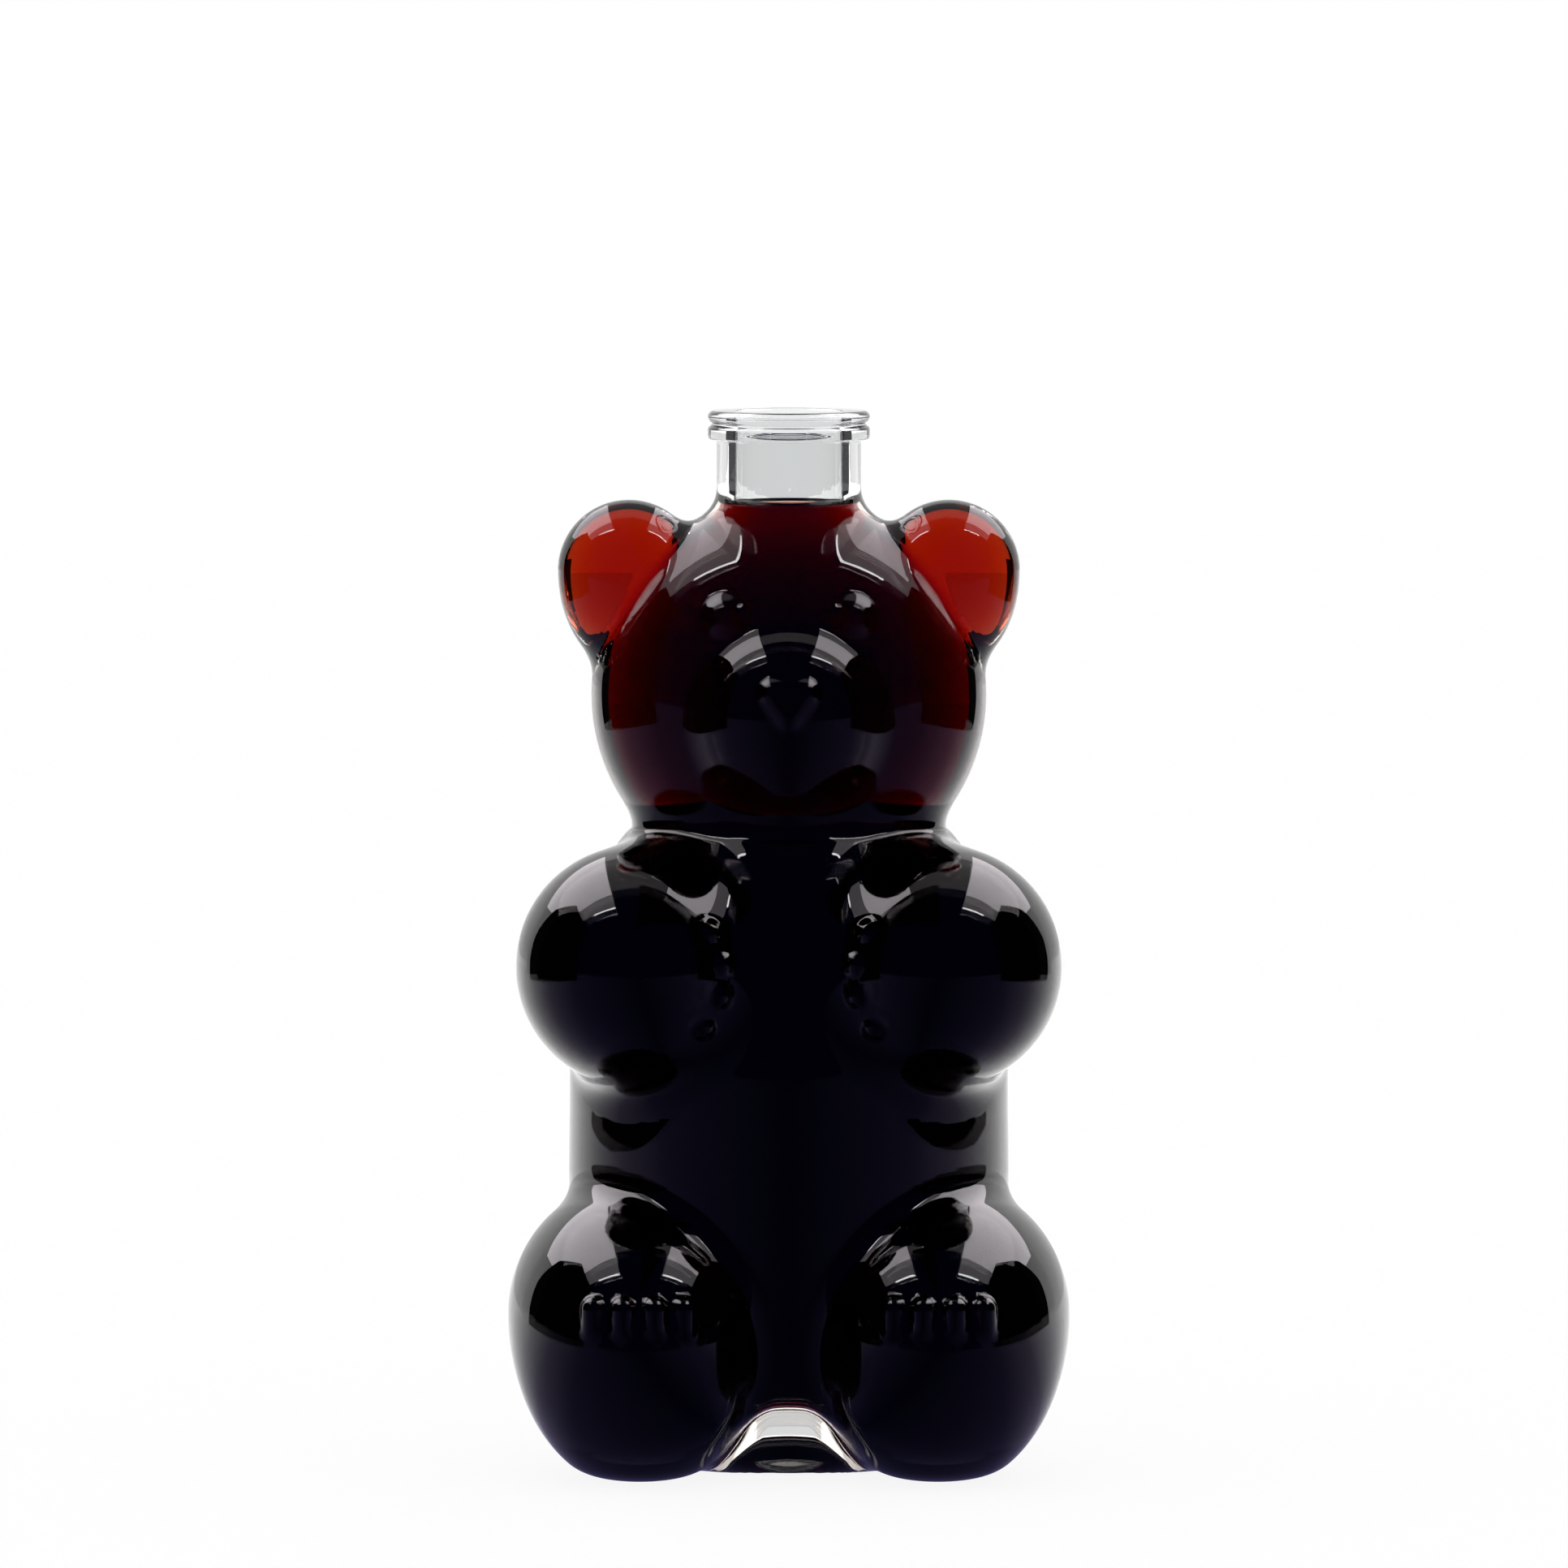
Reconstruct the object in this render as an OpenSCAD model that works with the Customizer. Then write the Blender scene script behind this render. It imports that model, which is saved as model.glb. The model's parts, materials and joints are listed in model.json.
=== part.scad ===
// Glass bottle in the shape of a sitting bear, with the liquid that it holds.
// The bear looks along -Y, its left and right are mirrored about the YZ plane,
// and it stands on z = 0. All sizes are in millimetres.
//
// The moulded body is described by rounded lobes that flow into each other with
// small fillets. skin() gives how far a point lies outside of that form, reach()
// finds the surface along a ray, and loft() joins the points found on a stack of
// rings into one closed skin. The cavity is the same form, one wall further in.

/* [Glass] */
// Height from the base to the rim
total_h = 183.5; // [180:0.5:188]
// Glass thickness of the body
wall = 3.2; // [2.4:0.1:4]
// Glass thickness of the base
base_wall = 4; // [3:0.1:6]
// Rounding of the cavity above the base
base_round = 5; // [3:0.5:8]

/* [Neck and finish] */
// Bore of the neck, which takes an 18.5 mm bar-top cork
bore_d = 18.5; // [16:0.5:20]
// Glass thickness of the neck
neck_wall = 3.2; // [2.8:0.1:4]
// Height at which the plain neck leaves the moulded body
neck_z = 170; // [169:0.5:172]
// Fillet from the neck to the top of the head
neck_fillet = 4; // [3:0.5:6]
// Outer diameter of the two beads at the rim
rim_d = 28; // [27:0.5:30]
// Radius of each bead
bead_r = 1.35; // [1:0.05:1.6]
// Height from one bead to the next
bead_pitch = 2.2; // [1.8:0.1:2.6]
// Rounding of the inner edge of the rim
lip_round = 0.7; // [0.3:0.1:1]

/* [Head] */
// Width and height of the head
head_d = 68.4; // [64:0.2:72]
// Depth of the head from face to back
head_depth = 41; // [38:0.5:46]
// Height of the centre of the head
head_z = 134.5; // [133:0.5:136]
// Width and height of the muzzle
muzzle_d = 32.8; // [28:0.2:36]
// Depth of the muzzle
muzzle_depth = 23; // [20:0.5:28]
// Distance of the muzzle's centre in front of the neck axis
muzzle_y = 20; // [18:0.5:22]
// Height of the muzzle's centre
muzzle_z = 130.6; // [128:0.2:134]
// How far the muzzle leans back for each millimetre of its height
muzzle_lean = 0.1; // [0:0.01:0.2]
// Fillet around the muzzle
muzzle_fillet = 2.5; // [1.5:0.5:5]

/* [Ears] */
// Width of an ear
ear_d = 24.6; // [22:0.2:27]
// How far an ear tapers down below its centre
ear_taper = 17.5; // [14:0.5:20]
// Thickness of an ear from front to back
ear_t = 19; // [16:0.5:22]
// Sideways distance of an ear's centre
ear_x = 27.6; // [26:0.2:29]
// Height of an ear's centre
ear_z = 155.8; // [153:0.2:157]
// Fillet between the ears and the head
ear_fillet = 3; // [2:0.5:5]

/* [Face] */
// Diameter of an eye
eye_d = 7.6; // [6:0.2:9]
// How far an eye stands out
eye_bulge = 1.5; // [0.8:0.1:2.2]
// Sideways distance of an eye
eye_x = 11; // [9:0.5:14]
// Height of an eye
eye_z = 149; // [146:0.5:152]
// Width of the nose at its top
nose_w = 11.8; // [9:0.2:14]
// Height of the nose
nose_h = 10.4; // [8:0.2:12]
// How far the nose stands out
nose_bulge = 1.2; // [0.6:0.1:2]
// Corner radius of the nose
nose_r = 3; // [2:0.1:4]
// Height of the middle of the nose
nose_z = 134.4; // [132:0.2:136]

/* [Torso] */
// Width of the torso
torso_w = 76.4; // [72:0.2:80]
// Depth of the torso
torso_depth = 72; // [66:0.5:76]
// Height of the widest place of the torso
torso_z = 61.7; // [59:0.1:64]
// Height from the widest place to the top of the torso
torso_rise = 57.5; // [56:0.5:60]
// How far the torso sits behind the neck axis
torso_y = 4; // [2:0.5:6]
// Fillet between the head and the torso
collar_fillet = 3.5; // [2:0.5:6]

/* [Seat] */
// Width of the bear's bottom
seat_w = 63; // [58:0.5:70]
// Depth of the bear's bottom
seat_depth = 57; // [52:0.5:62]
// Height of the bear's bottom
seat_h = 62; // [56:0.5:70]
// How far the bottom sits behind the neck axis
seat_y = 10; // [7:0.5:12]
// Fillet between the bottom and the torso
seat_fillet = 10; // [6:1:16]

/* [Arms] */
// Diameter of an arm
arm_d = 41.8; // [38:0.2:45]
// Sideways distance of an arm's centre
arm_x = 26.1; // [24:0.1:28]
// Distance of an arm's centre in front of the neck axis
arm_y = 18.5; // [15:0.5:20]
// Height of an arm's centre
arm_z = 88.5; // [86:0.5:91]
// Fillet between the arms and the torso
arm_fillet = 6; // [3:0.5:8]
// Number of claws on each paw
claw_count = 4; // [2:1:5]
// Diameter of a claw
claw_d = 3.6; // [3:0.1:4.2]
// How far a claw stands out
claw_bulge = 0.9; // [0.6:0.1:1.3]
// Height from one claw to the next
claw_pitch = 5.6; // [4.6:0.1:7]

/* [Legs] */
// Width of a leg
leg_w = 46; // [42:0.2:50]
// Depth of a leg
leg_depth = 57; // [52:0.5:60]
// Height of a leg's centre
leg_z = 28.2; // [26:0.2:30]
// Height of the knee above the leg's centre
knee_rise = 22.9; // [20:0.1:25]
// Sideways gap between the legs at their closest
leg_gap = 5.2; // [3:0.2:9]
// Distance of a leg's centre in front of the neck axis
leg_y = 10; // [8:0.5:12]
// How far the legs lean back for each millimetre of their height
leg_lean = 0.15; // [0.05:0.01:0.2]
// Fillet between the legs and the body
leg_fillet = 4; // [2:0.5:6]
// Number of toes on each foot
toe_count = 4; // [3:1:5]
// Height of a toe
toe_h = 8; // [6:0.2:10]
// Width of a toe
toe_w = 4.4; // [3.6:0.1:5]
// How far a toe stands out
toe_bulge = 1.2; // [0.8:0.1:1.6]
// Sideways distance from one toe to the next
toe_pitch = 5.8; // [5.2:0.1:6.6]
// Height of the middle of the toes
toe_z = 30.5; // [28:0.5:33]

/* [Base] */
// Width of the arch between the feet at the floor
arch_w = 26; // [22:0.5:30]
// Height of the arch between the feet
arch_h = 11; // [8:0.5:13]
// How far the arch reaches back, measured in front of the neck axis
arch_end = 7; // [4:0.5:10]
// Rounding of the heel where the body meets the floor
heel = 3; // [2:0.5:5]
// Diameter of the shallow dome under the base
dome_d = 34; // [26:0.5:36]
// Depth of the shallow dome under the base
dome_h = 1.5; // [0.6:0.1:1.8]

/* [Contents] */
// Height of the liquid's surface
fill_z = 166.5; // [120:0.5:167]

/* [Smoothness] */
// Columns of facets around the outside
outer_columns = 52; // [40:4:60]
// Columns of facets around the cavity
inner_columns = 36; // [32:4:44]

/* [Hidden] */

bore_r = bore_d / 2;
neck_r = bore_r + neck_wall;
rim_r = rim_d / 2;
// The mould's neck ring leaves a small step where the neck joins the body
neck_step = 0.12;
// The cavity opens a little wider than the bore before it meets it
bore_step = 0.15;
// Height at which the straight bore starts
bore_z = neck_z - 2.2;
// The neck's tube runs on this far down inside the head
neck_root = 12;
// The bore is cut this far down into the cavity
bore_root = 4;
// Cuts run past the solid by this much
clear_cut = 1;
bead_z = total_h - bead_r;
// The claws lie on a circle of this radius about the arm, seen from the front
claw_reach = 15;
// Depth of that circle in front of the arm's centre, before it meets the surface
claw_front = 14.6;
// Height of the middle of the row of claws above the arm's centre
claw_rise = -1;
leg_x = leg_w / 2 + leg_gap / 2;
arch_l = 34;
arch_y = -arch_end - arch_l;
// The skin runs on this far below the floor and is then cut flat
base_trim = 0.4;
// How far the forms of the seat and the feet run on below the floor, which makes
// their footprints
seat_sink = 8;
foot_sink = 2;
// Height from which the rays to the base spread out
hub_z = 28;
// The fullness of the torso and the seat, where 2 would be an ellipsoid
fullness = 3;
// Columns crowd towards the face by this share
front_bias = 0.25;
// Steepest tilt of the rays between the base and the head
most_tilt = 16;
// Distance from the axis at which the tilted rays are evenly spaced
station_r = 32;
// The rays of the head's cap stop at this angle, past the ears
cap_angle = 62;
// Rings of the outer skin around the base, up the body and over the head
outer_rings = [13, 38, 12];
inner_rings = [9, 24, 9];
// Height between the rings around the neck
neck_ring_pitch = 2;
// The rays are followed from this distance, inside the form
ray_start = 20;
surface_tolerance = 0.004;
most_steps = 60;
$fn = 48;

// Distance from point p to an ellipsoid with semi-axes r, less than 0 inside
function lobe(p, r) =
    let (k = norm([p.x / r.x, p.y / r.y, p.z / r.z]),
         g = norm([p.x / (r.x * r.x), p.y / (r.y * r.y), p.z / (r.z * r.z)]))
    k * (k - 1) / max(g, 0.001);

// The same for an egg, whose lower semi-axis is low
function egg(p, r, low) = lobe(p, p.z > 0 ? r : [r.x, r.y, low]);

// The same for a barrel, fuller than an ellipsoid along its height
function barrel(p, r) =
    let (a = norm([p.x / r.x, p.y / r.y]), b = abs(p.z) / r.z)
    (pow(pow(a, fullness) + pow(b, fullness), 1 / fullness) - 1) * min(r.x, r.y);

// Joins two forms with a fillet of size k
function blend(a, b, k) = min(a, b) - pow(max(k - abs(a - b), 0), 2) / (4 * k);

// Keeps what two forms share, with their common edge rounded by size k
function keep(a, b, k) = -blend(-a, -b, k);

// Sets a form upright that leans back by slope for each millimetre of height
function upright(p, slope) = [p.x, p.y - slope * p.z, p.z];

function head(p) = lobe(p - [0, 0, head_z], [head_d / 2, head_depth / 2, head_d / 2]);
function muzzle(p) =
    lobe(upright(p - [0, -muzzle_y, muzzle_z], muzzle_lean), [muzzle_d / 2, muzzle_depth / 2, muzzle_d / 2]);
function ear(p) = egg(p - [ear_x, 0, ear_z], [ear_d / 2, ear_t / 2, ear_d / 2], ear_taper);
function torso(p) = barrel(p - [0, torso_y, torso_z], [torso_w / 2, torso_depth / 2, torso_rise]);
function seat(p) = barrel(p - [0, seat_y, seat_h / 2], [seat_w / 2, seat_depth / 2, seat_h / 2 + seat_sink]);
function arm(p) = norm(p - [arm_x, -arm_y, arm_z]) - arm_d / 2;
function leg(p) =
    egg(upright(p - [leg_x, -leg_y, leg_z], leg_lean), [leg_w / 2, leg_depth / 2, knee_rise], leg_z + foot_sink);
function arch(p) = lobe(p - [0, arch_y, 0], [arch_w / 2, arch_l, arch_h]);

function upper_body(p) =
    blend(blend(head(p), ear(p), ear_fillet), muzzle(p), muzzle_fillet);
function lower_body(p) =
    blend(blend(blend(torso(p), seat(p), seat_fillet), arm(p), arm_fillet), leg(p), leg_fillet);
function bear(p) =
    keep(blend(upper_body(p), lower_body(p), collar_fillet), -arch(p), heel + 1);

// Adds the neck of radius r and ends the form at the floor
function skin(p, inset, r, floor_z, round) =
    let (q = [abs(p.x), p.y, p.z],
         tube = max(norm([p.x, p.y]) - r, head_z - p.z))
    keep(blend(bear(q) + inset, tube, neck_fillet), floor_z - p.z, round);

function outside(p) = skin(p, 0, neck_r + neck_step, -base_trim, heel);
function inside(p) = skin(p, wall, bore_r + bore_step, base_wall, base_round);

// Distance along a ray at which it leaves the form
function reach(from, ray, inner, t = ray_start, steps = most_steps) =
    let (gap = inner ? inside(from + t * ray) : outside(from + t * ray))
    abs(gap) < surface_tolerance || steps == 0 ? t
        : reach(from, ray, inner, t - gap, steps - 1);

function on_surface(from, ray, inner = false) = from + reach(from, ray, inner) * ray;

// Direction in which the outer surface faces at point p
function facing(p, step = 0.01) =
    let (slope = [for (e = [[step, 0, 0], [0, step, 0], [0, 0, step]]) outside(p + e) - outside(p - e)])
    slope / norm(slope);

// Tilt of the rays at height z, so that they meet the tops of the arms and legs and
// the undersides of the arms at a fair angle
function tilt(z) = lookup(z, [
    [hub_z, 0],
    [leg_z + knee_rise, most_tilt],
    [arm_z - arm_d / 2, -most_tilt],
    [arm_z + arm_d / 2, most_tilt],
    [head_z, 0]
]);

// Ring through height z at the usual distance from the axis
function tilted_station(z) = [z - station_r * tan(tilt(z)), tilt(z)];

// Rings as [height of the hub, angle above the horizon], from the base to the neck
function stations(counts, neck_rings, top) =
    let (low = counts[0], middle = counts[1], cap = counts[2])
    concat(
        [for (i = [1 : low]) [hub_z, -90 + 90 * i / low]],
        [for (i = [1 : middle]) tilted_station(hub_z + (head_z - hub_z) * i / middle)],
        [for (i = [1 : cap]) [head_z, cap_angle * i / cap]],
        [for (i = [1 : neck_rings]) [top - (neck_rings - i) * neck_ring_pitch, 0]]
    );

function azimuth(i, columns) =
    let (u = 360 * i / columns)
    u + front_bias * sin(u) * 180 / PI;

// One closed skin through the points on all rings, with a pole at each end
module loft(rings, columns, inner) {
    top = rings[len(rings) - 1][0];
    points = concat(
        [on_surface([0, 0, hub_z], [0, 0, -1], inner)],
        [for (s = rings, i = [0 : columns - 1])
            let (a = azimuth(i, columns),
                 ray = [sin(a) * cos(s[1]), cos(a) * cos(s[1]), sin(s[1])])
            on_surface([0, 0, s[0]], ray, inner)],
        [[0, 0, top]]
    );
    last = len(points) - 1;
    faces = concat(
        [for (i = [0 : columns - 1]) [0, 1 + (i + 1) % columns, 1 + i]],
        [for (r = [0 : len(rings) - 2], i = [0 : columns - 1], half = [0, 1])
            let (a = 1 + r * columns + i,
                 b = 1 + r * columns + (i + 1) % columns)
            half == 0 ? [a, b, a + columns] : [b, b + columns, a + columns]],
        [for (i = [0 : columns - 1])
            [last, last - columns + i, last - columns + (i + 1) % columns]]
    );
    polyhedron(points, faces);
}

module outer_form() {
    loft(stations(outer_rings, 3, neck_z), outer_columns, false);
}

module cavity_form() {
    loft(stations(inner_rings, 2, bore_z), inner_columns, true);
}

// Neck tube and the two beads of the rim, turned about the neck axis
module neck_finish() {
    rotate_extrude() {
        translate([0, neck_z - neck_root])
            square([neck_r, bead_z - neck_z + neck_root]);
        translate([0, bead_z - bead_pitch - bead_r])
            square([rim_r - bead_r, bead_pitch + 2 * bead_r]);
        for (z = [bead_z, bead_z - bead_pitch])
            translate([rim_r - bead_r, z]) circle(bead_r);
    }
}

// Straight bore with a rounded edge at the rim
module bore() {
    translate([0, 0, bore_z - bore_root])
        cylinder(r = bore_r, h = total_h - bore_z + bore_root + clear_cut);
    rotate_extrude() difference() {
        translate([0, total_h - lip_round])
            square([bore_r + lip_round, lip_round + clear_cut]);
        translate([bore_r + lip_round, total_h - lip_round])
            circle(lip_round);
    }
}

// Radius of the ball whose cap is d across and bulge high
function cap_radius(d, bulge) = (d * d / 4 + bulge * bulge) / (2 * bulge);

// Round cap that stands out by bulge from the surface at point p
module button(p, d, bulge) {
    r = cap_radius(d, bulge);
    translate(p + (bulge - r) * facing(p)) sphere(r);
}

module eyes() {
    rise = eye_z - head_z;
    front = head_depth / 2 * sqrt(1 - pow(norm([eye_x, rise]) / (head_d / 2), 2));
    for (side = [-1, 1]) {
        aim = [side * eye_x, -front, rise];
        button(on_surface([0, 0, head_z], aim / norm(aim)), eye_d, eye_bulge);
    }
}

// Rounded triangle, wide at the top, that sits on the front of the muzzle
module nose() {
    hub = [0, -muzzle_y, muzzle_z];
    half_w = nose_w / 2 - nose_r;
    half_h = nose_h / 2 - nose_r;
    hull() for (c = [[-half_w, half_h], [half_w, half_h], [0, -half_h]]) {
        aim = [c.x, -muzzle_depth / 2, nose_z - muzzle_z + c.y];
        p = on_surface(hub, aim / norm(aim));
        translate(p + (nose_bulge - nose_r) * facing(p)) sphere(nose_r, $fn = 24);
    }
}

// Row of upright toes with round ends across the front of each foot
module toes() {
    for (side = [-1, 1], i = [0 : toe_count - 1]) {
        hub = [side * leg_x, -leg_y, leg_z];
        aim = [(i - (toe_count - 1) / 2) * toe_pitch, -leg_depth / 2, toe_z - leg_z];
        p = on_surface(hub, aim / norm(aim));
        translate(p + (toe_bulge - toe_w / 2) * facing(p)) {
            cylinder(d = toe_w, h = toe_h - toe_w, center = true);
            for (end = [-1, 1]) translate([0, 0, end * (toe_h - toe_w) / 2]) sphere(d = toe_w);
        }
    }
}

// Row of claws down the inner side of each paw, beside the chest
module claws() {
    for (side = [-1, 1], i = [0 : claw_count - 1]) {
        hub = [side * arm_x, -arm_y, arm_z];
        rise = claw_rise + (i - (claw_count - 1) / 2) * claw_pitch;
        aim = [-side * sqrt(pow(claw_reach, 2) - pow(rise, 2)), -claw_front, rise];
        button(on_surface(hub, aim / norm(aim)), claw_d, claw_bulge);
    }
}

// Everything is moved along Y so that the depth, from the arms to the bear's bottom,
// is centred on the origin
front_reach = arm_y + arm_d / 2;
back_reach = max([for (z = [seat_h / 2 : torso_z]) on_surface([0, 0, z], [0, 1, 0]).y]);
centre_y = (front_reach - back_reach) / 2;

// Slab wider than the bottle, from height z up by thick
module slab(z, thick) {
    translate([-total_h, -total_h, z]) cube([2 * total_h, 2 * total_h, thick]);
}

module glass_bottle() {
    color([0.86, 0.9, 0.9, 0.45]) translate([0, centre_y, 0]) difference() {
        union() {
            outer_form();
            neck_finish();
            eyes();
            nose();
            toes();
            claws();
        }
        cavity_form();
        bore();
        slab(-base_trim - clear_cut, base_trim + clear_cut);
        translate([0, seat_y, dome_h - cap_radius(dome_d, dome_h)]) sphere(cap_radius(dome_d, dome_h));
    }
}

module liquid_fill() {
    color([0.26, 0.04, 0.03]) translate([0, centre_y, 0]) difference() {
        cavity_form();
        slab(fill_z, total_h - fill_z);
    }
}

glass_bottle();
liquid_fill();
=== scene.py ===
"""Bear-shaped glass bottle with a dark drink in it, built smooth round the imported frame.

All forms are worked out in millimetres about the neck axis, as in the CAD source,
and are moved to the frame's place and scaled to metres when their meshes are made.
"""

import json
import math

import bpy
import numpy as np
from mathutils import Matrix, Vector


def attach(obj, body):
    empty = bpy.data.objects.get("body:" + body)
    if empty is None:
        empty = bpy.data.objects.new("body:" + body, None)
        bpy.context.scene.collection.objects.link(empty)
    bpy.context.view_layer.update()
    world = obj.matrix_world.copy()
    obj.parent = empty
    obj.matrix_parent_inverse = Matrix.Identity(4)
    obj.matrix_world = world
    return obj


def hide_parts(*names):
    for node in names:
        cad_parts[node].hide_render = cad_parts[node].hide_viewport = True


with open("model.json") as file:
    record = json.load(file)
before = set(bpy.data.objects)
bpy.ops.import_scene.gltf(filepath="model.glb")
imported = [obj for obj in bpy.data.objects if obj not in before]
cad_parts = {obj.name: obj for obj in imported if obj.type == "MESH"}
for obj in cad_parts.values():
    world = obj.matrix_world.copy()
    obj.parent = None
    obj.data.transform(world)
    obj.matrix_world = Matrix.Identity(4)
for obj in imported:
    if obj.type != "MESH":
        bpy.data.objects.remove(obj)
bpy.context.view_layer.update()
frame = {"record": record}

MM = 0.001  # metres in a millimetre
NECK = next(mount for mount in frame["record"]["mounts"] if mount["name"] == "neck_bore")
CENTRE_Y = NECK["pos_m"][1] / MM  # the neck's axis in the frame
SIDES = (-1, 1)

# Bottle, in mm
TOTAL_H = 183.5
WALL = 3.2
EAR_HOLLOW_R = (11, 3.1, 11)  # the glass is thick in the ears
BASE_WALL = 4.0
BASE_ROUND = 5.0
HEEL = 3.0
BORE_R = 9.25
NECK_R = 12.45
NECK_FILLET = 4.0
NECK_TOP = 178.6  # underside of the lower bead
RIM_R = 14.0
TOP_BEAD_H = 2.25
LOW_BEAD_R = 0.88
LOW_BEAD_DROP = 1.045  # from the groove down to the middle of the lower bead's rounding
BEAD_CORNER = 0.3
GROOVE = 0.64  # depth of the groove between the beads
GROOVE_DROP = 0.05  # from the top bead down to the groove
GROOVE_H = 0.12
GROOVE_SLANT = 0.03
LIP_ROUND = 0.7
FILL_Z = 167.1
MENISCUS_RISE = 0.9
MENISCUS_REACH = 0.8
MENISCUS_W = 3  # the drink's level has close rings this far in from its edge
LEVEL_W = 9  # and wider ones this far in
LEVEL_HUB_R = 0.1
WET = 0.06  # the drink's skin lies this far inside the glass, so no air shows between
OUTER_TOP = 171.0  # the net of the outer skin ends here, in the straight neck
CAVITY_TOP = 169.4  # the same for the cavity
OUTER_SEAM = 0.6  # height of the strip that joins a net to the turned neck
BORE_SEAM = 0.9

HEAD = (0, 0, 134.5)
HEAD_R = (34.2, 20.5, 34.2)
MUZZLE = (0, -13.2, 130.6)
MUZZLE_R = (17.6, 13, 17.6)
MUZZLE_LEAN = -0.08  # leans back this much for each mm up, so that its chin tucks in
MUZZLE_FILLET = 2.0
EAR = (27.6, 0, 155.8)
EAR_R = (12.3, 9.5, 12.3)
EAR_TAPER = 17.5
EAR_FILLET = 3.0
TORSO = (0, 5.7, 61.7)
TORSO_R = (38.2, 33.5, 57.5)
COLLAR_FILLET = 3.5
SEAT = (0, 10, 31)
SEAT_R = (31.5, 28.5, 39)
SEAT_FILLET = 10.0
FULLNESS = 3
ARM = (26.1, -14, 88.5)
ARM_R = 20.9
ARM_FILLET = 6.0
LEG = (25.6, -10, 28.2)
LEG_R = (23, 28.5, 22.9)
LEG_LEAN = 0.15  # leans back this much for each mm up, so that its foot stands forward
LEG_LOW = 30.2
LEG_FILLET = 4.0
PUNT = (0, 0, 0)  # hollow under the base, between the feet
PUNT_R = (15, 13, 9.6)
HUMP_W = 17  # half width of the thick glass of the base between the feet
HUMP_H = 13
HUMP_FILLET = 3

EYE_D = 7.6
EYE_BULGE = 1.5
EYE_X = 11
EYE_Z = 149
NOSE_W = 11.8
NOSE_H = 10.4
NOSE_R = 3.0
NOSE_BULGE = 1.2
NOSE_Z = 134.4
TOE_COUNT = 4
TOE_W = 4.4
TOE_H = 8.0
TOE_BULGE = 1.2
TOE_PITCH = 5.8
TOE_Z = 30.5
CLAW_COUNT = 4
CLAW_D = 3.6
CLAW_BULGE = 0.9
CLAW_PITCH = 5.6
CLAW_REACH = 15
CLAW_FRONT = 14.6
CLAW_RISE = -1
DETAIL_FILLET = 0.7

OUTER_STEP = 0.8  # grid on which the outer skin is found
INNER_STEP = 1.2  # the same for the cavity and the drink
OUTER_SPAN = (52, -50, 50, -2)  # half width, front, back and bottom of that grid
INNER_SPAN = (50, -46, 46, 1)
COLUMNS = 240  # round the neck
RAY_START = 10
RAY_STEPS = 60
TINY = 0.001  # keeps a division off zero
LEAST_SLOPE = 0.05  # squared, so that no point is thrown far off its surface


def length(*parts):
    return np.sqrt(sum(part * part for part in parts))


def lobe(x, y, z, centre, radii, low=None):
    """Distance to an ellipsoid, or with low to an egg that reaches this far below its centre."""
    x, y, z = x - centre[0], y - centre[1], z - centre[2]
    rx, ry, rz = radii
    if low is not None:
        rz = np.where(z > 0, rz, low)
    share = length(x / rx, y / ry, z / rz)
    slope = length(x / rx**2, y / ry**2, z / rz**2)
    return share * (share - 1) / np.maximum(slope, TINY)


def barrel(x, y, z, centre, radii):
    """The same for a barrel, fuller than an ellipsoid along its height."""
    across = length((x - centre[0]) / radii[0], (y - centre[1]) / radii[1])
    along = np.abs(z - centre[2]) / radii[2]
    share = (across**FULLNESS + along**FULLNESS) ** (1 / FULLNESS)
    return (share - 1) * min(radii[:2])


def ball(x, y, z, centre, radius):
    return length(x - centre[0], y - centre[1], z - centre[2]) - radius


def blend(a, b, size):
    """Joins two forms with a fillet."""
    return np.minimum(a, b) - np.maximum(size - np.abs(a - b), 0) ** 2 / (4 * size)


def keep(a, b, size):
    """What two forms share, with their common edge rounded."""
    return -blend(-a, -b, size)


def bear(x, y, z, ear_r=EAR_R, ear_taper=EAR_TAPER):
    x = np.abs(x)
    ear = lobe(x, y, z, EAR, ear_r, ear_taper)
    upper = blend(lobe(x, y, z, HEAD, HEAD_R), ear, EAR_FILLET)
    straight = y - MUZZLE_LEAN * (z - MUZZLE[2])
    upper = blend(upper, lobe(x, straight, z, MUZZLE, MUZZLE_R), MUZZLE_FILLET)
    lower = blend(barrel(x, y, z, TORSO, TORSO_R), barrel(x, y, z, SEAT, SEAT_R), SEAT_FILLET)
    lower = blend(lower, ball(x, y, z, ARM, ARM_R), ARM_FILLET)
    straight = y - LEG_LEAN * (z - LEG[2])
    lower = blend(lower, lobe(x, straight, z, LEG, LEG_R, LEG_LOW), LEG_FILLET)
    return blend(upper, lower, COLLAR_FILLET)


def with_neck(body, x, y, z, radius, floor_z, heel):
    tube = np.maximum(length(x, y) - radius, HEAD[2] - z)
    return keep(blend(body, tube, NECK_FILLET), floor_z - z, heel)


def cavity(x, y, z):
    inside = bear(x, y, z, tuple(r + WALL for r in EAR_HOLLOW_R)) + WALL
    inside = with_neck(inside, x, y, z, BORE_R, BASE_WALL, BASE_ROUND)
    hump = (length(x / HUMP_W, z / HUMP_H) - 1) * HUMP_H
    return keep(inside, -hump, HUMP_FILLET)


def drink(x, y, z):
    return cavity(x, y, z) - WET


def plain_skin(x, y, z):
    return with_neck(bear(x, y, z), x, y, z, NECK_R, 0, HEEL)


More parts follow.
